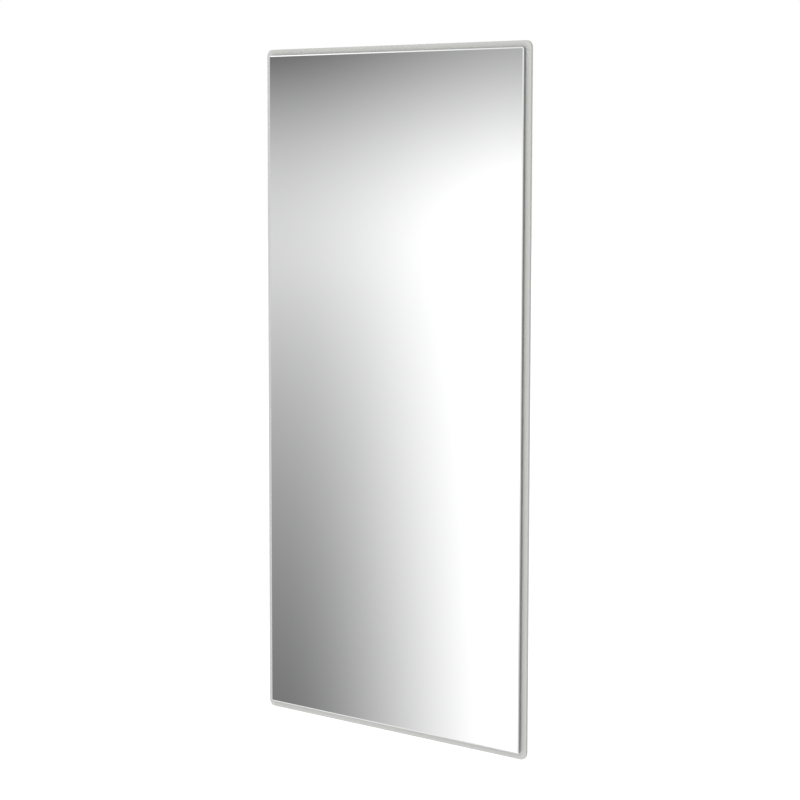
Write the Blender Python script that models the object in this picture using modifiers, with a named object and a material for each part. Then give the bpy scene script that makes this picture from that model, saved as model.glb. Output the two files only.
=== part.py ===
"""Flat wall mirror: a bevelled glass pane bonded to a rounded back panel, which hangs on a two-part rail.

Metres, +Z up. The viewer stands on the -Y side, and the wall is the plane y = 0.
The origin is on the wall plane, in the middle of the wall rail's back face, on the line of its screw slots.
The mirror unit (everything but the wall rail and its end caps) lifts off straight up, along +Z.
"""

import math

import bmesh
import bpy

# Driving dimensions of the visible pieces.
PANEL_WIDTH = 0.600
PANEL_HEIGHT = 1.200
PANEL_THICKNESS = 0.0045
PANEL_CORNER_RADIUS = 0.012
PANEL_EDGE_RADIUS = 0.0006
PANEL_BORDER = 0.011
GLASS_THICKNESS = 0.005
GLASS_CORNER_RADIUS = 0.004
GLASS_BEVEL_WIDTH = 0.002
GLASS_BEVEL_DEPTH = 0.001

# Layers between the glass and the panel. Each is parted from the next by the bond gap.
BOND_GAP = 0.0001
TAPE_THICKNESS = 0.0011
TAPE_WIDTH = 0.019
TAPE_LENGTH = 1.100
TAPE_COUNT = 4
TAPE_SPACING = 0.175
BEAD_WIDTH = 0.009
BEAD_LENGTH = 1.000
BEAD_END_RADIUS = 0.004
BEAD_RIM_RADIUS = 0.0004
FILM_THICKNESS = 0.0002
FILM_INSET = 0.002

# Z-section rails. Both are the same extrusion, and one is turned half a turn about X.
RAIL_THICKNESS = 0.002
RAIL_STEP = 0.0048
RAIL_FLANGE = 0.026
RAIL_LEG = 0.012
RAIL_EDGE_RADIUS = 0.0003
PANEL_RAIL_LENGTH = 0.400
WALL_RAIL_LENGTH = 0.460
SEAT_GAP = 0.0002
HOOK_GAP = 0.0003
RAIL_DROP = 0.130
SLOT_LENGTH = 0.012
SLOT_WIDTH = 0.0055
SLOT_SPACING = 0.120
SLOT_COUNT = 4

# End caps of the wall rail.
CAP_LENGTH = 0.008
CAP_POCKET = 0.005
CAP_WALL = 0.001
CAP_CLEARANCE = 0.0002

# Lower spacer and its pads.
SPACER_LENGTH = 0.400
SPACER_HEIGHT = 0.022
SPACER_THICKNESS = 0.006
SPACER_EDGE_RADIUS = 0.0004
PAD_RADIUS = 0.009
PAD_EDGE_RADIUS = 0.0008
PAD_OFFSET = 0.110

# M4 countersunk screws with a hexagon socket, and their nuts.
SCREW_LENGTH = 0.0102
SCREW_HEAD_RADIUS = 0.0040
SCREW_RADIUS = 0.00195
SCREW_RIM = 0.0003
SCREW_TIP = 0.0005
SCREW_RECESS = 0.0001
SOCKET_ACROSS_FLATS = 0.0025
SOCKET_DEPTH = 0.0014
HOLE_CLEARANCE = 0.00015
NUT_ACROSS_FLATS = 0.007
NUT_THICKNESS = 0.0032
NUT_EDGE_RADIUS = 0.0003
PANEL_SCREW_SPACING = 0.110
PANEL_SCREW_COUNT = 4
SPACER_SCREW_SPACING = 0.165
SPACER_SCREW_COUNT = 3

ROUND_STEPS = 32
CORNER_STEPS = 8
RIM_STEPS = 2
CUT_MARGIN = 0.001
MERGE_DISTANCE = 1e-6
SMOOTH_ANGLE = math.radians(30)
SHARP_ANGLE = math.radians(40)
FLAT_ANGLE = math.radians(0.5)

# Planes and lines that follow from the dimensions above.
WALL_GAP = SEAT_GAP + 2 * RAIL_STEP - HOOK_GAP
PANEL_BACK = -WALL_GAP
PANEL_FRONT = PANEL_BACK - PANEL_THICKNESS
TAPE_BACK = PANEL_FRONT - BOND_GAP
TAPE_FRONT = TAPE_BACK - TAPE_THICKNESS
FILM_BACK = TAPE_FRONT - BOND_GAP
FILM_FRONT = FILM_BACK - FILM_THICKNESS
GLASS_BACK = FILM_FRONT - BOND_GAP
GLASS_WIDTH = PANEL_WIDTH - 2 * PANEL_BORDER
GLASS_HEIGHT = PANEL_HEIGHT - 2 * PANEL_BORDER
WALL_WEB_Z = (RAIL_THICKNESS + RAIL_FLANGE) / 2
HOOK_Z = WALL_WEB_Z + RAIL_LEG + HOOK_GAP
PANEL_CENTRE_Z = HOOK_Z + RAIL_DROP - PANEL_HEIGHT / 2
PANEL_SCREW_Z = HOOK_Z + (RAIL_THICKNESS + RAIL_FLANGE) / 2
SPACER_Z = PANEL_CENTRE_Z - PANEL_HEIGHT / 2 + RAIL_DROP
SEAT_PLANE = PANEL_BACK + SEAT_GAP


def clear_scene():
    """Remove whatever the scene holds."""
    for old in list(bpy.data.objects):
        bpy.data.objects.remove(old, do_unlink=True)


def new_collection(name):
    made = bpy.data.collections.new(name)
    bpy.context.scene.collection.children.link(made)
    return made


def new_material(name, colour, roughness, metallic=0.0):
    """One Principled BSDF with plain values."""
    made = bpy.data.materials.new(name)
    made.use_nodes = True
    shader = made.node_tree.nodes["Principled BSDF"]
    shader.inputs["Base Color"].default_value = (*colour, 1.0)
    shader.inputs["Roughness"].default_value = roughness
    shader.inputs["Metallic"].default_value = metallic
    return made


def object_from_bmesh(name, shape, collection):
    mesh = bpy.data.meshes.new(name)
    bmesh.ops.recalc_face_normals(shape, faces=shape.faces)
    shape.to_mesh(mesh)
    shape.free()
    made = bpy.data.objects.new(name, mesh)
    collection.objects.link(made)
    return made


def finish_part(part, material, body, smooth=False):
    """Give a part its material and its body, and shade its round faces smooth where asked."""
    part.data.materials.clear()
    part.data.materials.append(material)
    if smooth:
        part.data.shade_smooth()
        part.data.set_sharp_from_angle(angle=SMOOTH_ANGLE)
    part.parent = body
    part.matrix_parent_inverse = body.matrix_world.inverted()


def spread(count, spacing):
    """Places of a centred row of things, from left to right."""
    return [(i - (count - 1) / 2) * spacing for i in range(count)]


def along_y(edge):
    """Whether an edge runs front to back."""
    span = edge.verts[1].co - edge.verts[0].co
    return abs(span.y) > 0.99 * span.length


def facing_y(face, sign):
    """Whether a face looks forward (sign -1) or back (sign +1)."""
    return face.normal.y * sign > 0.99


def plate_shape(width, height, front, back, corner_radius):
    """An upright plate between two planes of constant y, its four corners rounded."""
    shape = bmesh.new()
    bmesh.ops.create_cube(shape, size=1.0)
    bmesh.ops.scale(shape, vec=(width, back - front, height), verts=shape.verts)
    bmesh.ops.translate(shape, vec=(0, (front + back) / 2, 0), verts=shape.verts)
    corners = [edge for edge in shape.edges if along_y(edge)]
    bmesh.ops.bevel(
        shape,
        geom=corners,
        offset=corner_radius,
        segments=CORNER_STEPS,
        profile=0.5,
        affect="EDGES",
    )
    return shape


def round_rims(shape, radius, signs=(-1, 1)):
    """Round the edges around the plate's front face (sign -1), its back face (sign +1) or both."""
    shape.normal_update()
    faces = [face for face in shape.faces if any(facing_y(face, sign) for sign in signs)]
    rims = {edge for face in faces for edge in face.edges}
    bmesh.ops.bevel(
        shape, geom=list(rims), offset=radius, segments=RIM_STEPS, profile=0.5, affect="EDGES"
    )


def extruded(name, outline, length, collection):
    """A closed outline extruded along its local Z, half to each side, as a mesh with one face at each end."""
    curve = bpy.data.curves.new(name, "CURVE")
    curve.dimensions = "2D"
    curve.fill_mode = "BOTH"
    curve.extrude = length / 2
    spline = curve.splines.new("POLY")
    spline.points.add(len(outline) - 1)
    for point, (x, y) in zip(spline.points, outline):
        point.co = (x, y, 0, 1)
    spline.use_cyclic_u = True
    holder = bpy.data.objects.new(name + "_outline", curve)
    collection.objects.link(holder)
    bpy.context.view_layer.update()
    evaluated = holder.evaluated_get(bpy.context.evaluated_depsgraph_get())
    mesh = bpy.data.meshes.new_from_object(evaluated)
    bpy.data.objects.remove(holder, do_unlink=True)
    bpy.data.curves.remove(curve)
    shape = bmesh.new()
    shape.from_mesh(mesh)
    bpy.data.meshes.remove(mesh)
    bmesh.ops.remove_doubles(shape, verts=shape.verts, dist=MERGE_DISTANCE)
    bmesh.ops.dissolve_limit(
        shape, angle_limit=FLAT_ANGLE, verts=shape.verts, edges=shape.edges
    )
    made = object_from_bmesh(name, shape, collection)
    made.data.shade_flat()
    return made


def turned(name, profile, collection):
    """A solid of revolution about the Y axis.

    The profile is a row of (radius, depth) points that starts and ends on the axis. Depth runs along +Y.
    """
    shape = bmesh.new()
    points = [shape.verts.new((radius, 0, -depth)) for radius, depth in profile]
    for first, second in zip(points, points[1:]):
        shape.edges.new((first, second))
    mesh = bpy.data.meshes.new(name)
    shape.to_mesh(mesh)
    shape.free()
    made = bpy.data.objects.new(name, mesh)
    collection.objects.link(made)
    screw = made.modifiers.new("turn", "SCREW")
    screw.steps = ROUND_STEPS
    screw.render_steps = ROUND_STEPS
    screw.use_merge_vertices = True
    screw.merge_threshold = MERGE_DISTANCE
    made.rotation_euler = (math.radians(90), 0, 0)
    return made


def round_off(part, width):
    """A small rounding on every sharp edge."""
    bevel = part.modifiers.new("rounding", "BEVEL")
    bevel.width = width
    bevel.segments = RIM_STEPS
    bevel.limit_method = "ANGLE"
    bevel.angle_limit = SHARP_ANGLE


def hexagon(across_flats, length):
    """A hexagonal prism along its local Z."""
    shape = bmesh.new()
    corner_radius = across_flats / math.sqrt(3)
    bmesh.ops.create_cone(
        shape,
        cap_ends=True,
        segments=6,
        radius1=corner_radius,
        radius2=corner_radius,
        depth=length,
    )
    return shape


def cut(part, cutter):
    """Take the cutter's shape out of a part."""
    cutter.hide_render = True
    cutter.display_type = "WIRE"
    boolean = part.modifiers.new("cut", "BOOLEAN")
    boolean.operation = "DIFFERENCE"
    boolean.solver = "EXACT"
    boolean.object = cutter


def screw_profile(grow=0.0, length=SCREW_LENGTH, lead=0.0):
    """(radius, depth) of a countersunk screw from the top of its head, or of the hole that clears it.

    A hole is larger all round by grow, and starts in front of the head by lead.
    """
    head = SCREW_HEAD_RADIUS + grow
    shank = SCREW_RADIUS + grow
    cone_end = SCREW_RIM + head - shank
    return [
        (0, -lead),
        (head, -lead),
        (head, SCREW_RIM),
        (shank, cone_end),
        (shank, length - SCREW_TIP),
        (shank - SCREW_TIP, length),
        (0, length),
    ]


def z_section(grow=0.0, back=0.0):
    """Outline of the Z-section as (depth, height) points.

    Depth 0 is the flange's seat, and height 0 the side of the web that hooks over the other rail.
    With grow the outline is that much larger all round, except at the seat, which lies at back.
    """
    near = RAIL_THICKNESS + grow
    far = RAIL_STEP + RAIL_THICKNESS + grow
    return [
        (back, RAIL_FLANGE + grow),
        (back, -grow),
        (RAIL_STEP - grow, -grow),
        (RAIL_STEP - grow, -RAIL_LEG - grow),
        (far, -RAIL_LEG - grow),
        (far, near),
        (near, near),
        (near, RAIL_FLANGE + grow),
    ]


def slot_outline():
    """Stadium, its long way along X."""
    radius = SLOT_WIDTH / 2
    reach = SLOT_LENGTH / 2 - radius
    points = []
    for centre, start in ((reach, -90), (-reach, 90)):
        for step in range(CORNER_STEPS + 1):
            angle = math.radians(start + 180 * step / CORNER_STEPS)
            points.append((centre + radius * math.cos(angle), radius * math.sin(angle)))
    return points


def place_rail(rail, seat_y, web_z, turned_over):
    """Lay an extruded Z-section along X, with its seat at seat_y and its web's hooking side at web_z."""
    sign = -1 if turned_over else 1
    rail.rotation_euler = (sign * math.radians(90), 0, sign * math.radians(90))
    rail.location = (0, seat_y, web_z)


def make_glass(parts):
    """Glass pane with a polished bevel around its front."""
    bevel_foot = GLASS_BACK - GLASS_THICKNESS + GLASS_BEVEL_DEPTH
    shape = plate_shape(GLASS_WIDTH, GLASS_HEIGHT, bevel_foot, GLASS_BACK, GLASS_CORNER_RADIUS)
    shape.normal_update()
    front = [face for face in shape.faces if facing_y(face, -1)]
    bmesh.ops.inset_region(
        shape,
        faces=front,
        thickness=GLASS_BEVEL_WIDTH,
        depth=GLASS_BEVEL_DEPTH,
        use_even_offset=True,
    )
    glass = object_from_bmesh("mirror_glass", shape, parts)
    glass.location.z = PANEL_CENTRE_Z
    return glass


def make_film(parts):
    """Film over the back of the glass, a little smaller than the pane."""
    width = GLASS_WIDTH - 2 * FILM_INSET
    height = GLASS_HEIGHT - 2 * FILM_INSET
    shape = plate_shape(width, height, FILM_FRONT, FILM_BACK, GLASS_CORNER_RADIUS)
    film = object_from_bmesh("safety_film", shape, parts)
    film.location.z = PANEL_CENTRE_Z
    return film


def make_tapes(parts):
    """Upright strips of foam tape, the outer ones near the sides of the glass."""
    tapes = []
    for number, x in enumerate(spread(TAPE_COUNT, TAPE_SPACING), start=1):
        shape = plate_shape(TAPE_WIDTH, TAPE_LENGTH, TAPE_FRONT, TAPE_BACK, BOND_GAP)
        tape = object_from_bmesh(f"mounting_tape_{number}", shape, parts)
        tape.location = (x, 0, PANEL_CENTRE_Z)
        tapes.append(tape)
    return tapes


def make_beads(parts):
    """Beads of adhesive, squashed flat midway between the tapes."""
    beads = []
    for number, x in enumerate(spread(TAPE_COUNT - 1, TAPE_SPACING), start=1):
        shape = plate_shape(BEAD_WIDTH, BEAD_LENGTH, TAPE_FRONT, TAPE_BACK, BEAD_END_RADIUS)
        round_rims(shape, BEAD_RIM_RADIUS)
        bead = object_from_bmesh(f"adhesive_bead_{number}", shape, parts)
        bead.location = (x, 0, PANEL_CENTRE_Z)
        beads.append(bead)
    return beads


def screw_places():
    """(x, z) of the screws in the panel rail, then of those in the lower spacer."""
    upper = [(x, PANEL_SCREW_Z) for x in spread(PANEL_SCREW_COUNT, PANEL_SCREW_SPACING)]
    lower = [(x, SPACER_Z) for x in spread(SPACER_SCREW_COUNT, SPACER_SCREW_SPACING)]
    return upper, lower


def make_hole_cutters(name, places, cutters):
    """A countersunk clearance hole for the screw at each place, open at both ends."""
    profile = screw_profile(HOLE_CLEARANCE, SCREW_LENGTH + CUT_MARGIN, CUT_MARGIN)
    made = []
    for number, (x, z) in enumerate(places, start=1):
        cutter = turned(f"{name}_{number}", profile, cutters)
        cutter.location = (x, PANEL_FRONT + SCREW_RECESS, z)
        made.append(cutter)
    return made


def make_panel(parts, hole_cutters):
    """Back panel with rounded corners and edges, and a countersunk hole for each screw."""
    shape = plate_shape(PANEL_WIDTH, PANEL_HEIGHT, PANEL_FRONT, PANEL_BACK, PANEL_CORNER_RADIUS)
    round_rims(shape, PANEL_EDGE_RADIUS)
    panel = object_from_bmesh("back_panel", shape, parts)
    panel.location.z = PANEL_CENTRE_Z
    for cutter in hole_cutters:
        cut(panel, cutter)
    return panel


def make_panel_rail(parts, hole_cutters):
    """Upper half of the hanging rail, screwed to the panel, its leg hooking down behind the wall rail's."""
    rail = extruded("panel_rail", z_section(), PANEL_RAIL_LENGTH, parts)
    place_rail(rail, SEAT_PLANE, HOOK_Z, turned_over=False)
    round_off(rail, RAIL_EDGE_RADIUS)
    for cutter in hole_cutters:
        cut(rail, cutter)
    return rail


def make_wall_rail(parts, cutters):
    """The same section turned over, with a row of slots for the wall screws."""
    rail = extruded("wall_rail", z_section(), WALL_RAIL_LENGTH, parts)
    place_rail(rail, 0, WALL_WEB_Z, turned_over=True)
    round_off(rail, RAIL_EDGE_RADIUS)
    slot_depth = 2 * (RAIL_THICKNESS + CUT_MARGIN)
    for number, x in enumerate(spread(SLOT_COUNT, SLOT_SPACING), start=1):
        slot = extruded(f"slot_cutter_{number}", slot_outline(), slot_depth, cutters)
        slot.rotation_euler = (math.radians(90), 0, 0)
        slot.location = (x, 0, 0)
        cut(rail, slot)
    return rail


def make_end_cap(name, side, parts, cutters):
    """A cap pushed over one end of the wall rail: a grown section with a pocket that clears the rail."""
    end = side * (WALL_RAIL_LENGTH / 2)
    outer_face = end + side * (CAP_LENGTH - CAP_POCKET)
    cap = extruded(name, z_section(CAP_WALL), CAP_LENGTH, parts)
    place_rail(cap, 0, WALL_WEB_Z, turned_over=True)
    cap.location.x = outer_face - side * CAP_LENGTH / 2
    round_off(cap, CAP_CLEARANCE)
    pocket_length = CAP_POCKET + CUT_MARGIN
    pocket = extruded(name + "_pocket", z_section(CAP_CLEARANCE, -CUT_MARGIN), pocket_length, cutters)
    place_rail(pocket, 0, WALL_WEB_Z, turned_over=True)
    pocket.location.x = end + side * (CAP_CLEARANCE - pocket_length / 2)
    cut(cap, pocket)
    return cap


def make_screw(name, x, z, parts, cutters):
    """Countersunk screw with a hexagon socket, driven from the panel's front."""
    screw = turned(name, screw_profile(), parts)
    screw.location = (x, PANEL_FRONT + SCREW_RECESS, z)
    socket_shape = hexagon(SOCKET_ACROSS_FLATS, 2 * SOCKET_DEPTH)
    socket = object_from_bmesh(name + "_socket", socket_shape, cutters)
    socket.rotation_euler = (math.radians(90), 0, 0)
    socket.location = screw.location
    cut(screw, socket)
    return screw


def make_nut(name, x, z, parts, hole_cutter):
    """Hexagon nut behind the panel rail."""
    nut = object_from_bmesh(name, hexagon(NUT_ACROSS_FLATS, NUT_THICKNESS), parts)
    nut.rotation_euler = (math.radians(90), 0, 0)
    nut.location = (x, SEAT_PLANE + RAIL_THICKNESS + BOND_GAP + NUT_THICKNESS / 2, z)
    round_off(nut, NUT_EDGE_RADIUS)
    cut(nut, hole_cutter)
    return nut


def make_spacer(parts, hole_cutters):
    """Bar across the foot of the panel's back, which carries the wall pads."""
    spacer_back = SEAT_PLANE + SPACER_THICKNESS
    shape = plate_shape(
        SPACER_LENGTH, SPACER_HEIGHT, SEAT_PLANE, spacer_back, SPACER_EDGE_RADIUS
    )
    round_rims(shape, SPACER_EDGE_RADIUS / 2)
    spacer = object_from_bmesh("lower_spacer", shape, parts)
    spacer.location.z = SPACER_Z
    for cutter in hole_cutters:
        cut(spacer, cutter)
    return spacer


def make_pad(name, side, parts):
    """Rubber disc between the lower spacer and the wall."""
    front = SEAT_PLANE + SPACER_THICKNESS + BOND_GAP
    thickness = -front
    edge_steps = CORNER_STEPS // 2
    profile = [(0, 0), (PAD_RADIUS, 0)]
    for step in range(edge_steps + 1):
        angle = math.radians(90 * step / edge_steps)
        radius = PAD_RADIUS - PAD_EDGE_RADIUS * (1 - math.cos(angle))
        depth = thickness - PAD_EDGE_RADIUS * (1 - math.sin(angle))
        profile.append((radius, depth))
    profile.append((0, thickness))
    pad = turned(name, profile, parts)
    pad.location = (side * PAD_OFFSET, front, SPACER_Z)
    return pad


def new_body(name, location):
    """An empty that carries the pieces of one rigid body."""
    body = bpy.data.objects.new(name, None)
    body.location = location
    bpy.context.scene.collection.objects.link(body)
    return body


def main():
    clear_scene()
    parts = new_collection("wall_mirror")
    cutters = new_collection("cutters")
    wall_fixing = new_body("wall_fixing", (0, 0, 0))
    mirror_unit = new_body("mirror_unit", (0, PANEL_BACK, HOOK_Z))
    bpy.context.view_layer.update()

    silvered = new_material("silvered_glass", (0.86, 0.88, 0.88), 0.02, 1.0)
    light_grey = new_material("light_grey_panel", (0.60, 0.60, 0.58), 0.45)
    film_blue = new_material("safety_film", (0.45, 0.55, 0.62), 0.35)
    foam_white = new_material("foam_tape", (0.80, 0.80, 0.78), 0.85)
    adhesive = new_material("adhesive", (0.62, 0.61, 0.58), 0.5)
    anodised = new_material("anodised_aluminium", (0.72, 0.73, 0.74), 0.38, 1.0)
    zinc = new_material("zinc_plated_steel", (0.66, 0.67, 0.69), 0.3, 1.0)
    rubber = new_material("black_rubber", (0.025, 0.025, 0.027), 0.75)
    grey_plastic = new_material("grey_plastic", (0.22, 0.225, 0.23), 0.5)

    upper, lower = screw_places()
    upper_holes = make_hole_cutters("upper_hole", upper, cutters)
    lower_holes = make_hole_cutters("lower_hole", lower, cutters)

    finish_part(make_glass(parts), silvered, mirror_unit)
    finish_part(make_film(parts), film_blue, mirror_unit)
    for tape in make_tapes(parts):
        finish_part(tape, foam_white, mirror_unit)
    for bead in make_beads(parts):
        finish_part(bead, adhesive, mirror_unit)
    finish_part(make_panel(parts, upper_holes + lower_holes), light_grey, mirror_unit)
    finish_part(make_panel_rail(parts, upper_holes), anodised, mirror_unit)
    finish_part(make_spacer(parts, lower_holes), anodised, mirror_unit)
    for number, ((x, z), hole) in enumerate(zip(upper, upper_holes), start=1):
        screw = make_screw(f"panel_rail_screw_{number}", x, z, parts, cutters)
        finish_part(screw, zinc, mirror_unit, smooth=True)
        nut = make_nut(f"panel_rail_nut_{number}", x, z, parts, hole)
        finish_part(nut, zinc, mirror_unit)
    for number, (x, z) in enumerate(lower, start=1):
        screw = make_screw(f"lower_spacer_screw_{number}", x, z, parts, cutters)
        finish_part(screw, zinc, mirror_unit, smooth=True)
    for name, side in (("wall_pad_left", -1), ("wall_pad_right", 1)):
        finish_part(make_pad(name, side, parts), rubber, mirror_unit, smooth=True)

    finish_part(make_wall_rail(parts, cutters), anodised, wall_fixing)
    for name, side in (("rail_end_cap_left", -1), ("rail_end_cap_right", 1)):
        finish_part(make_end_cap(name, side, parts, cutters), grey_plastic, wall_fixing)


main()
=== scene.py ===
"""Looks of the wall mirror: its materials, a plain studio and the camera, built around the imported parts.

Lengths are in metres and angles in degrees, unless a name says otherwise. The viewer stands on the -Y side.
"""

import math

import bpy
from mathutils import Matrix, Vector


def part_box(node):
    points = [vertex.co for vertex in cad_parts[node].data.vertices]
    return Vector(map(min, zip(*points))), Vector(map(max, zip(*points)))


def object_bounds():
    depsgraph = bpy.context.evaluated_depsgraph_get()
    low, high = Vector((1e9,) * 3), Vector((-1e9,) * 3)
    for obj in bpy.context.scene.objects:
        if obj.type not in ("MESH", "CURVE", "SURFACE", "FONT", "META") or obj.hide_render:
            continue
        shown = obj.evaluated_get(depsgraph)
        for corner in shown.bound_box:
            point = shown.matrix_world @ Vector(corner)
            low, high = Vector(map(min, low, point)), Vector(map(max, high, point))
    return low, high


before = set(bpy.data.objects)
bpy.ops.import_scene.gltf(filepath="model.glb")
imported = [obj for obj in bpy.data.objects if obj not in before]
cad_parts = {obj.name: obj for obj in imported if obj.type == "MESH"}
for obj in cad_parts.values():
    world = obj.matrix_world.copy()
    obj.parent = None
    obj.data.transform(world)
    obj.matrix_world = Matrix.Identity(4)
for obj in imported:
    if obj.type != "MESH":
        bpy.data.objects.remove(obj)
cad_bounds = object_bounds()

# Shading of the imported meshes.
MERGE_DISTANCE = 1e-6
SMOOTH_ANGLE = math.radians(24)

# Camera, as seen from the middle of the back panel's front face.
CAMERA_AZIMUTH = 41.194
CAMERA_ELEVATION = 5.976
CAMERA_DISTANCE = 4.0146
CAMERA_LENS_MM = 103.854
CAMERA_AIM_RIGHT = 0.0135
CAMERA_AIM_UP = -0.0108
CAMERA_ROLL = 0.106

# Floor and softbox.
FLOOR_DROP = 0.75
FLOOR_SIZE = 60.0
FLOOR_GLOW = 0.50
SOFTBOX_SIZE = 3.2
SOFTBOX_PLACE = (0.4, -3.2, 2.2)
SOFTBOX_POWER = 40.0

# Brightness of the surroundings, where white is 1: the backdrop, then the light on matt surfaces.
BACKDROP = 1.0
MATT_FRONT = 0.47
MATT_SIDES = 1.0
MATT_RIGHT = 0.05

# Directions between which that light changes: how far forwards or backwards, then how far to the right.
MATT_FRONT_TO_SIDES = (0.95, 0.25)
MATT_MIDDLE_TO_RIGHT = (0.0, 0.9)

# Brightness of the room that the mirror and the metal show.
ROOM_WALLS = 0.70
ROOM_FRONT_RIGHT = 0.88
ROOM_RIGHT = 0.18
ROOM_BACK = 0.85
ROOM_CEILING = 0.95
SCREEN = 1.38
SCREEN_SHADOW = 0.24
SCREEN_CEILING = 0.61
CORNER_WALL = 0.78
CORNER_WALL_TOP = 1.7
CORNER_FLOOR = 0.95
HIGH_LIGHT_RIGHT = 0.80
HIGH_LIGHT_LEFT = 1.35

# Azimuths between which one stretch of the room blends into the next.
# Azimuth is 0 straight in front of the mirror, and grows to the left.
CORNER_TO_SCREEN = (44.4, 36.8)
SCREEN_TO_FRONT_RIGHT = (12.0, -12.0)
CORNER_TO_WALLS = (60.0, 100.0)
FRONT_RIGHT_TO_RIGHT = (-40.0, -90.0)
RIGHT_TO_BACK = (-100.0, -152.0)
HIGH_LIGHT_RIGHT_TO_LEFT = (52.0, 63.0)

# Elevations between which one height of the room blends into the next.
WALLS_TO_CEILING = (40.0, 65.0)
FLOOR_TO_FRONT_RIGHT = (-15.0, -5.0)
SHADOW_TO_SCREEN = (4.6, -2.5)
SHADOW_TO_CEILING = (5.0, 32.0)
SHADOW_TO_CORNER_WALL = (4.0, -3.4)
SHADOW_TO_HIGH_LIGHT = (4.0, 32.0)
CORNER_WALL_TO_FLOOR = (-14.0, -36.0)

# The corner's wall has the brightness CORNER_WALL at one elevation, and is e times darker one fade below it.
CORNER_WALL_LEVEL = -2.0
CORNER_WALL_FADE = 8.5

# The screen's left edge leans to the left as it climbs, by this share of the climb from one elevation.
SCREEN_LEAN = 0.03
SCREEN_LEAN_FROM = -8.0

# How squarely a surface faces the front or the back, where one finish blends into the next.
# It is 1 on the flats, 0.89 on the bevel and 0 on the sides.
SIDE_TO_MIRROR = (0.45, 0.55)
BEVEL_TO_FLAT = (0.95, 0.99)
SIDE_TO_ROUND = (0.05, 0.35)
FLAT_TO_ROUND = (0.97, 0.80)

# Textures: no stretch, and the values that soft noise and cells mostly take.
NO_STRETCH = (1.0, 1.0, 1.0)
NOISE_RANGE = (0.3, 0.7)
CELL_RANGE = (0.0, 0.7)


# ---------------------------------------------------------------- node helpers

class Tree:
    """A short way to write a node tree."""

    def __init__(self, tree):
        self.tree = tree

    def add(self, kind, inputs=(), **settings):
        """Add a node. Inputs are (name or number, value or socket) pairs."""
        made = self.tree.nodes.new(kind)
        for name, value in settings.items():
            setattr(made, name, value)
        for key, value in dict(inputs).items():
            self.feed(made.inputs[key], value)
        return made

    def feed(self, socket, value):
        """Link a socket to the input, or set the input to a plain value."""
        if isinstance(value, bpy.types.NodeSocket):
            self.tree.links.new(value, socket)
        else:
            socket.default_value = value

    def math(self, operation, first, second=0.0):
        """One step of arithmetic: each input is a number or a socket."""
        return self.add("ShaderNodeMath", {0: first, 1: second}, operation=operation).outputs[0]

    def span(self, value, low, high, to_low=0.0, to_high=1.0):
        """Map a value smoothly from low..high to to_low..to_high, held at both ends."""
        settings = {"Value": value, "From Min": low, "From Max": high, "To Min": to_low, "To Max": to_high}
        return self.add("ShaderNodeMapRange", settings, interpolation_type="SMOOTHSTEP").outputs["Result"]

    def mix(self, factor, first, second):
        """Mix two numbers: each is a number or a socket."""
        return self.add("ShaderNodeMix", {0: factor, 2: first, 3: second}, data_type="FLOAT").outputs[0]

    def mix_colour(self, factor, first, second):
        """Mix two colours: each is a tuple of three numbers or a socket."""
        made = self.add("ShaderNodeMix", {0: factor}, data_type="RGBA")
        for socket, value in ((made.inputs[6], first), (made.inputs[7], second)):
            self.feed(socket, value if isinstance(value, bpy.types.NodeSocket) else (*value, 1.0))
        return made.outputs[2]

    def place(self, stretch=NO_STRETCH):
        """Object coordinates, multiplied by stretch. They are metres in the part's frame."""
        coordinates = self.add("ShaderNodeTexCoord").outputs["Object"]
        return self.add("ShaderNodeMapping", {"Vector": coordinates, "Scale": stretch}).outputs["Vector"]

    def facing(self):
        """How squarely a surface faces the front or the back: 1 on the flats, 0 on the sides."""
        normal = self.add("ShaderNodeNewGeometry").outputs["Normal"]
        return self.math("ABSOLUTE", self.add("ShaderNodeSeparateXYZ", {0: normal}).outputs["Y"])

    def noise(self, place, scale, detail=3.0, roughness=0.5):
        """Soft noise from 0 to 1, mostly in NOISE_RANGE. The scale is in cells per metre."""
        inputs = {"Vector": place, "Scale": scale, "Detail": detail, "Roughness": roughness}
        return self.add("ShaderNodeTexNoise", inputs).outputs["Fac"]

    def cells(self, place, scale):
        """Distance to the nearest cell's middle, mostly in CELL_RANGE. The scale is in cells per metre."""
        return self.add("ShaderNodeTexVoronoi", {"Vector": place, "Scale": scale}).outputs["Distance"]

    def bump(self, height, strength, distance, over=None):
        """A bump from a height, on top of another bump if there is one. The distance is in metres."""
        inputs = {"Height": height, "Strength": strength, "Distance": distance}
        if over is not None:
            inputs["Normal"] = over
        return self.add("ShaderNodeBump", inputs).outputs["Normal"]


def new_surface(name):
    """A new material: its tree, and its Principled node."""
    material = bpy.data.materials.new(name)
    material.use_nodes = True
    tree = Tree(material.node_tree)
    return material, tree, material.node_tree.nodes["Principled BSDF"]


# ---------------------------------------------------------------- materials

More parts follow.
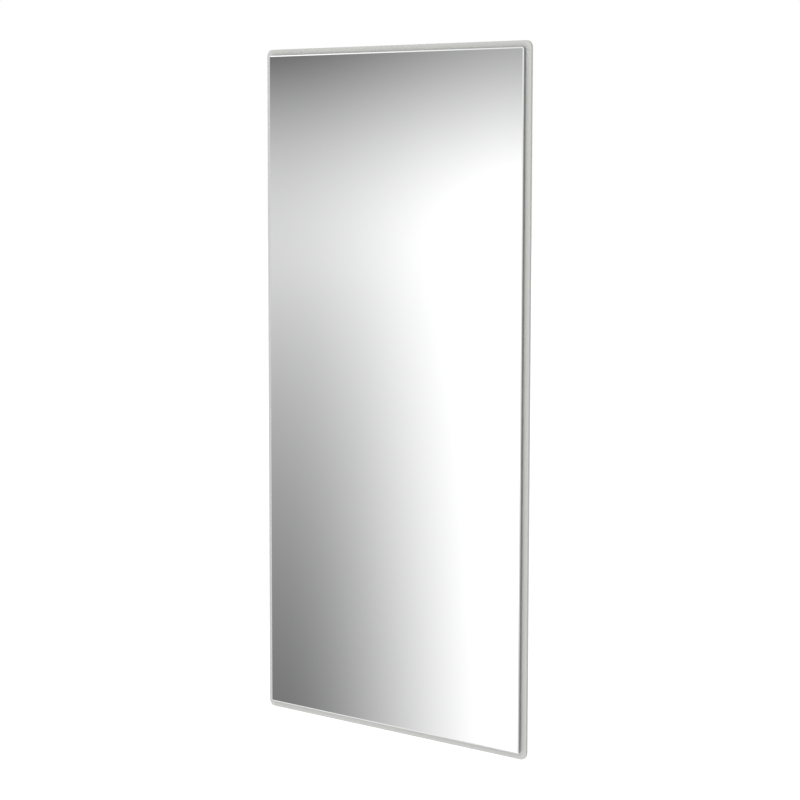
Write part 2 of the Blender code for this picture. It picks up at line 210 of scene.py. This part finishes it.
def silvered_glass():
    """Float glass silvered on its back. Its flat and its bevel mirror, its sides are ground and polished."""
    clean_silver = (0.930, 0.935, 0.932)
    hazy_silver = (0.918, 0.924, 0.921)
    bevel_silver = (0.900, 0.910, 0.906)
    dark_side = (0.285, 0.295, 0.288)
    pale_side = (0.365, 0.375, 0.368)
    material, tree, shader = new_surface("mirror_silvered_glass")
    facing = tree.facing()
    mirror = tree.span(facing, *SIDE_TO_MIRROR)
    bevel = tree.math("SUBTRACT", mirror, tree.span(facing, *BEVEL_TO_FLAT))
    haze = tree.span(tree.noise(tree.place((1.0, 1.0, 0.35)), 5.0, detail=4.0), 0.35, 0.75)
    grind = tree.noise(tree.place((30.0, 1500.0, 30.0)), 1.0, detail=2.0)
    speck = tree.noise(tree.place(), 900.0, detail=2.0)

    silver = tree.mix_colour(haze, clean_silver, hazy_silver)
    silver = tree.mix_colour(bevel, silver, bevel_silver)
    side = tree.mix_colour(grind, dark_side, pale_side)
    tree.feed(shader.inputs["Base Color"], tree.mix_colour(mirror, side, silver))
    tree.feed(shader.inputs["Metallic"], mirror)
    flat_roughness = tree.span(haze, 0.0, 1.0, 0.004, 0.012)
    mirror_roughness = tree.mix(bevel, flat_roughness, 0.03)
    side_roughness = tree.span(speck, 0.2, 0.8, 0.16, 0.30)
    tree.feed(shader.inputs["Roughness"], tree.mix(mirror, side_roughness, mirror_roughness))
    lines = tree.math("MULTIPLY", grind, tree.math("SUBTRACT", 1.0, mirror))
    tree.feed(shader.inputs["Normal"], tree.bump(lines, strength=0.15, distance=0.0001))
    shader.inputs["IOR"].default_value = 1.52
    return material


def light_grey_panel():
    """Smooth satin sheet, light warm grey, with a fine even grain and slightly paler rounded edges."""
    dark_grey = (0.634, 0.633, 0.612)
    pale_grey = (0.660, 0.659, 0.638)
    grain_grey = (0.56, 0.56, 0.54)
    edge_grey = (0.76, 0.76, 0.74)
    material, tree, shader = new_surface("mirror_light_grey_panel")
    place = tree.place()
    cloud = tree.noise(place, 9.0, detail=4.0)
    grain = tree.noise(place, 1400.0, roughness=0.6)
    pores = tree.noise(place, 420.0, detail=2.0)
    facing = tree.facing()
    not_side = tree.span(facing, *SIDE_TO_ROUND, 0.0, 0.35)
    round_edge = tree.math("MULTIPLY", not_side, tree.span(facing, *FLAT_TO_ROUND))

    colour = tree.mix_colour(cloud, dark_grey, pale_grey)
    colour = tree.mix_colour(tree.span(grain, 0.35, 0.75, 0.0, 0.12), colour, grain_grey)
    colour = tree.mix_colour(round_edge, colour, edge_grey)
    tree.feed(shader.inputs["Base Color"], colour)
    satin = tree.span(cloud, *NOISE_RANGE, 0.40, 0.48)
    roughness = tree.math("ADD", satin, tree.span(grain, *NOISE_RANGE, -0.04, 0.06))
    tree.feed(shader.inputs["Roughness"], roughness)
    grain_bump = tree.bump(grain, strength=0.05, distance=0.0002)
    tree.feed(shader.inputs["Normal"], tree.bump(pores, strength=0.03, distance=0.0004, over=grain_bump))
    return material


def anodised_aluminium():
    """Extruded aluminium with die lines along X, its length, satin anodised."""
    dark_line = (0.69, 0.70, 0.71)
    pale_line = (0.79, 0.80, 0.81)
    warm_cloud = (0.72, 0.72, 0.715)
    material, tree, shader = new_surface("mirror_anodised_aluminium")
    die_lines = tree.noise(tree.place((3.0, 900.0, 900.0)), 1.0, detail=4.0, roughness=0.65)
    fine = tree.noise(tree.place(), 2600.0, detail=2.0)
    cloud = tree.noise(tree.place((0.4, 1.0, 1.0)), 14.0)

    colour = tree.mix_colour(tree.span(die_lines, *NOISE_RANGE), dark_line, pale_line)
    colour = tree.mix_colour(tree.span(cloud, 0.35, 0.7, 0.0, 0.35), colour, warm_cloud)
    tree.feed(shader.inputs["Base Color"], colour)
    shader.inputs["Metallic"].default_value = 1.0
    satin = tree.span(die_lines, *NOISE_RANGE, 0.40, 0.30)
    roughness = tree.math("ADD", satin, tree.span(fine, *NOISE_RANGE, -0.03, 0.05))
    tree.feed(shader.inputs["Roughness"], roughness)
    grooves = tree.bump(die_lines, strength=0.25, distance=0.0001)
    tree.feed(shader.inputs["Normal"], tree.bump(fine, strength=0.10, distance=0.0001, over=grooves))
    return material


def zinc_plated_steel():
    """Bright zinc with the faint yellow and blue clouds of its passivated skin."""
    bluish = (0.66, 0.68, 0.72)
    yellowish = (0.72, 0.71, 0.66)
    material, tree, shader = new_surface("mirror_zinc_plated_steel")
    place = tree.place()
    cloud = tree.noise(place, 420.0)
    crystal = tree.noise(place, 2800.0)
    tree.feed(shader.inputs["Base Color"], tree.mix_colour(tree.span(cloud, 0.35, 0.65), bluish, yellowish))
    shader.inputs["Metallic"].default_value = 1.0
    tree.feed(shader.inputs["Roughness"], tree.span(crystal, *NOISE_RANGE, 0.24, 0.42))
    tree.feed(shader.inputs["Normal"], tree.bump(crystal, strength=0.2, distance=0.00005))
    return material


def black_rubber():
    """Matte rubber with a fine skin and a little bloom."""
    black = (0.018, 0.018, 0.019)
    bloomed = (0.05, 0.05, 0.052)
    material, tree, shader = new_surface("mirror_black_rubber")
    place = tree.place()
    skin = tree.noise(place, 3200.0, roughness=0.6)
    bloom = tree.noise(place, 260.0, detail=4.0)
    tree.feed(shader.inputs["Base Color"], tree.mix_colour(tree.span(bloom, 0.45, 0.75), black, bloomed))
    tree.feed(shader.inputs["Roughness"], tree.span(skin, *NOISE_RANGE, 0.62, 0.85))
    tree.feed(shader.inputs["Normal"], tree.bump(skin, strength=0.35, distance=0.0001))
    return material


def grey_plastic():
    """Moulded plastic with an eroded grain and faint mottling."""
    dark_grey = (0.190, 0.195, 0.200)
    pale_grey = (0.245, 0.250, 0.255)
    material, tree, shader = new_surface("mirror_grey_plastic")
    place = tree.place()
    grain = tree.cells(place, 2600.0)
    tree.feed(shader.inputs["Base Color"], tree.mix_colour(tree.noise(place, 180.0), dark_grey, pale_grey))
    tree.feed(shader.inputs["Roughness"], tree.span(grain, *CELL_RANGE, 0.42, 0.60))
    tree.feed(shader.inputs["Normal"], tree.bump(grain, strength=0.25, distance=0.0001))
    return material


def foam_tape():
    """White closed-cell foam with its cells showing, a little yellowed in places."""
    cell_middle = (0.70, 0.70, 0.68)
    cell_wall = (0.86, 0.86, 0.84)
    yellowed = (0.76, 0.75, 0.71)
    material, tree, shader = new_surface("mirror_foam_tape")
    place = tree.place()
    foam = tree.cells(place, 2200.0)
    ageing = tree.span(tree.noise(place, 60.0), 0.4, 0.7, 0.0, 0.3)
    colour = tree.mix_colour(tree.span(foam, 0.1, 0.7), cell_middle, cell_wall)
    tree.feed(shader.inputs["Base Color"], tree.mix_colour(ageing, colour, yellowed))
    tree.feed(shader.inputs["Roughness"], tree.span(foam, *CELL_RANGE, 0.95, 0.78))
    tree.feed(shader.inputs["Normal"], tree.bump(foam, strength=0.5, distance=0.0002))
    return material


def adhesive():
    """Cured adhesive, satin, uneven where it was squashed."""
    thick = (0.57, 0.56, 0.53)
    thin = (0.66, 0.65, 0.62)
    material, tree, shader = new_surface("mirror_adhesive")
    ripple = tree.noise(tree.place((1.0, 1.0, 0.3)), 160.0)
    fine = tree.noise(tree.place(), 1500.0, detail=2.0)
    tree.feed(shader.inputs["Base Color"], tree.mix_colour(tree.span(ripple, 0.35, 0.7), thick, thin))
    tree.feed(shader.inputs["Roughness"], tree.span(fine, *NOISE_RANGE, 0.32, 0.5))
    tree.feed(shader.inputs["Normal"], tree.bump(ripple, strength=0.3, distance=0.0008))
    return material


def safety_film():
    """Thin satin film, a little blue, with a fine crossed scrim."""
    film_blue = (0.43, 0.53, 0.60)
    scrim_blue = (0.58, 0.66, 0.71)
    material, tree, shader = new_surface("mirror_safety_film")
    threads = []
    for only_axis in ((1.0, 0.0, 0.0), (0.0, 0.0, 1.0)):
        inputs = {"Vector": tree.place(only_axis), "Scale": 260.0}
        threads.append(tree.add("ShaderNodeTexWave", inputs, bands_direction="DIAGONAL").outputs["Fac"])
    scrim = tree.math("MAXIMUM", *threads)
    colour = tree.mix_colour(tree.span(scrim, 0.8, 1.0), film_blue, scrim_blue)
    tree.feed(shader.inputs["Base Color"], colour)
    tree.feed(shader.inputs["Roughness"], tree.span(scrim, 0.6, 1.0, 0.28, 0.42))
    tree.feed(shader.inputs["Normal"], tree.bump(scrim, strength=0.15, distance=0.0001))
    return material


# Each material by the name of its slot in the record.
MAKERS = {
    "silvered_glass": silvered_glass,
    "light_grey_panel": light_grey_panel,
    "anodised_aluminium": anodised_aluminium,
    "zinc_plated_steel": zinc_plated_steel,
    "black_rubber": black_rubber,
    "grey_plastic": grey_plastic,
    "foam_tape": foam_tape,
    "adhesive": adhesive,
    "safety_film": safety_film,
}


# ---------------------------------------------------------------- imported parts

def smooth_group():
    """Node group that shades round faces smooth, and keeps edges sharper than SMOOTH_ANGLE."""
    group = bpy.data.node_groups.new("smooth_by_angle", "GeometryNodeTree")
    for side in ("INPUT", "OUTPUT"):
        group.interface.new_socket("Geometry", in_out=side, socket_type="NodeSocketGeometry")
    tree = Tree(group)
    start = tree.add("NodeGroupInput").outputs[0]
    plain = tree.add("GeometryNodeRemoveAttribute", {"Geometry": start, "Name": "custom_normal"})
    angle = tree.add("GeometryNodeInputMeshEdgeAngle").outputs["Unsigned Angle"]
    sharp = tree.add("FunctionNodeCompare", {"A": angle, "B": SMOOTH_ANGLE}, operation="GREATER_THAN")
    rounds = tree.add("GeometryNodeSetShadeSmooth", {"Geometry": plain.outputs[0]}, domain="FACE")
    edges = tree.add(
        "GeometryNodeSetShadeSmooth",
        {"Geometry": rounds.outputs[0], "Selection": sharp.outputs[0], "Shade Smooth": False},
        domain="EDGE",
    )
    tree.add("NodeGroupOutput", {0: edges.outputs[0]})
    return group


def dress(nodes):
    """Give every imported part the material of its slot, and shade its round faces smooth."""
    materials = {slot: make() for slot, make in MAKERS.items()}
    group = smooth_group()
    for part in nodes.values():
        slot = part.material_slots[0].material.name
        part.material_slots[0].material = materials[slot]
        weld = part.modifiers.new("weld", "WELD")
        weld.merge_threshold = MERGE_DISTANCE
        shade = part.modifiers.new("shade", "NODES")
        shade.node_group = group
        weigh = part.modifiers.new("weigh", "WEIGHTED_NORMAL")
        weigh.keep_sharp = True


# ---------------------------------------------------------------- studio

def make_floor():
    """Plain pale floor below the mirror. It glows a little, and the mirror doesn't show it."""
    grey = (0.90, 0.90, 0.90)
    pale_grey = (0.93, 0.93, 0.93)
    bpy.ops.mesh.primitive_plane_add(size=FLOOR_SIZE, location=(0, 0, cad_bounds[0].z - FLOOR_DROP))
    floor = bpy.context.object
    floor.name = "studio_floor"
    material, tree, shader = new_surface("studio_floor")
    tone = tree.noise(tree.place(), 1.5, detail=2.0)
    tree.feed(shader.inputs["Base Color"], tree.mix_colour(tone, grey, pale_grey))
    shader.inputs["Roughness"].default_value = 0.7
    shader.inputs["Emission Color"].default_value = (1.0, 1.0, 1.0, 1.0)
    shader.inputs["Emission Strength"].default_value = FLOOR_GLOW
    material.cycles.emission_sampling = "NONE"
    floor.data.materials.append(material)
    floor.visible_glossy = False


def make_softbox():
    """One large soft light above and in front, turned to the mirror's foot. The mirror doesn't show it."""
    light = bpy.data.lights.new("studio_softbox", "AREA")
    light.shape = "SQUARE"
    light.size = SOFTBOX_SIZE
    light.energy = SOFTBOX_POWER
    holder = bpy.data.objects.new("studio_softbox", light)
    bpy.context.scene.collection.objects.link(holder)
    holder.location = SOFTBOX_PLACE
    aim = Vector((0, 0, cad_bounds[0].z)) - holder.location
    holder.rotation_euler = aim.to_track_quat("-Z", "Y").to_euler()
    holder.visible_glossy = False


def dim_corner(tree, azimuth, elevation):
    """Front left of the room: a wall that darkens downwards, a pale floor, and light from high up."""
    climb = tree.math("SUBTRACT", elevation, CORNER_WALL_LEVEL)
    fade = tree.math("EXPONENT", tree.math("DIVIDE", climb, CORNER_WALL_FADE))
    wall = tree.math("MULTIPLY", tree.math("MINIMUM", fade, CORNER_WALL_TOP), CORNER_WALL)
    wall = tree.math("MULTIPLY", wall, tree.span(elevation, *SHADOW_TO_CORNER_WALL))
    floor = tree.span(elevation, *CORNER_WALL_TO_FLOOR, 0.0, CORNER_FLOOR)
    high_light = tree.span(azimuth, *HIGH_LIGHT_RIGHT_TO_LEFT, HIGH_LIGHT_RIGHT, HIGH_LIGHT_LEFT)
    high_light = tree.math("MULTIPLY", tree.span(elevation, *SHADOW_TO_HIGH_LIGHT), high_light)
    return tree.math("ADD", tree.math("ADD", wall, floor), high_light)


def bright_screen(tree, elevation):
    """Front of the room: a white screen up to eye level, a shadow above it, and a paler ceiling."""
    screen = tree.span(elevation, *SHADOW_TO_SCREEN, SCREEN_SHADOW, SCREEN)
    return tree.math("ADD", screen, tree.span(elevation, *SHADOW_TO_CEILING, 0.0, SCREEN_CEILING))


def reflected_room(tree, azimuth, elevation):
    """What the mirror and the metal show, all the way round. The screen's left edge leans a little."""
    corner = dim_corner(tree, azimuth, elevation)
    screen = bright_screen(tree, elevation)
    climb = tree.math("SUBTRACT", elevation, SCREEN_LEAN_FROM)
    leaning = tree.math("SUBTRACT", azimuth, tree.math("MULTIPLY", climb, SCREEN_LEAN))
    front = tree.mix(tree.span(leaning, *CORNER_TO_SCREEN), corner, screen)
    front_right = tree.span(elevation, *FLOOR_TO_FRONT_RIGHT, ROOM_WALLS, ROOM_FRONT_RIGHT)
    around = tree.mix(tree.span(azimuth, *SCREEN_TO_FRONT_RIGHT), front, front_right)
    around = tree.mix(tree.span(azimuth, *CORNER_TO_WALLS), around, ROOM_WALLS)
    around = tree.mix(tree.span(azimuth, *FRONT_RIGHT_TO_RIGHT), around, ROOM_RIGHT)
    around = tree.mix(tree.span(azimuth, *RIGHT_TO_BACK), around, ROOM_BACK)
    return tree.mix(tree.span(elevation, *WALLS_TO_CEILING), around, ROOM_CEILING)


def matt_light(tree, x, y):
    """What lights the matt surfaces: low from front and back, full from the sides, but dim on the right."""
    sideways = tree.span(tree.math("ABSOLUTE", y), *MATT_FRONT_TO_SIDES, MATT_FRONT, MATT_SIDES)
    rightward = tree.span(x, *MATT_MIDDLE_TO_RIGHT, 1.0, MATT_RIGHT)
    return tree.math("MULTIPLY", sideways, rightward)


def make_world():
    """Studio surroundings: a white backdrop, a soft light all around, and a room for the mirror to show."""
    world = bpy.data.worlds.new("studio")
    bpy.context.scene.world = world
    world.use_nodes = True
    tree = Tree(world.node_tree)
    direction = tree.add("ShaderNodeTexCoord").outputs["Generated"]
    x, y, z = tree.add("ShaderNodeSeparateXYZ", {0: direction}).outputs
    leftward = tree.math("MULTIPLY", x, -1.0)
    forward = tree.math("MULTIPLY", y, -1.0)
    azimuth = tree.math("DEGREES", tree.math("ARCTAN2", leftward, forward))
    elevation = tree.math("DEGREES", tree.math("ARCSINE", z))
    ray = tree.add("ShaderNodeLightPath").outputs
    room = reflected_room(tree, azimuth, elevation)
    shade = tree.mix(ray["Is Glossy Ray"], matt_light(tree, x, y), room)
    shade = tree.mix(ray["Is Camera Ray"], shade, BACKDROP)
    grey = tree.add("ShaderNodeCombineColor", {0: shade, 1: shade, 2: shade})
    tree.feed(world.node_tree.nodes["Background"].inputs["Color"], grey.outputs[0])


def make_camera():
    """Camera at the angle that the object is shown from."""
    panel_low, panel_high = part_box("back_panel")
    middle = (panel_low + panel_high) / 2
    middle.y = panel_low.y
    azimuth = math.radians(CAMERA_AZIMUTH)
    elevation = math.radians(CAMERA_ELEVATION)
    back = Vector(
        (
            math.sin(azimuth) * math.cos(elevation),
            -math.cos(azimuth) * math.cos(elevation),
            math.sin(elevation),
        )
    )
    place = middle + CAMERA_DISTANCE * back
    right = Vector((0, 0, 1)).cross(back).normalized()
    up = back.cross(right)
    aim = middle + CAMERA_AIM_RIGHT * right + CAMERA_AIM_UP * up
    turn = (aim - place).to_track_quat("-Z", "Y").to_matrix()
    turn = turn @ Matrix.Rotation(math.radians(CAMERA_ROLL), 3, "Z")
    data = bpy.data.cameras.new("camera")
    data.lens = CAMERA_LENS_MM
    camera = bpy.data.objects.new("camera", data)
    bpy.context.scene.collection.objects.link(camera)
    camera.matrix_world = Matrix.Translation(place) @ turn.to_4x4()
    bpy.context.scene.camera = camera


def main():
    """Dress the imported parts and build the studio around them."""
    bpy.context.scene.view_settings.view_transform = "Standard"
    dress(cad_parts)
    make_floor()
    make_softbox()
    make_world()
    make_camera()


main()
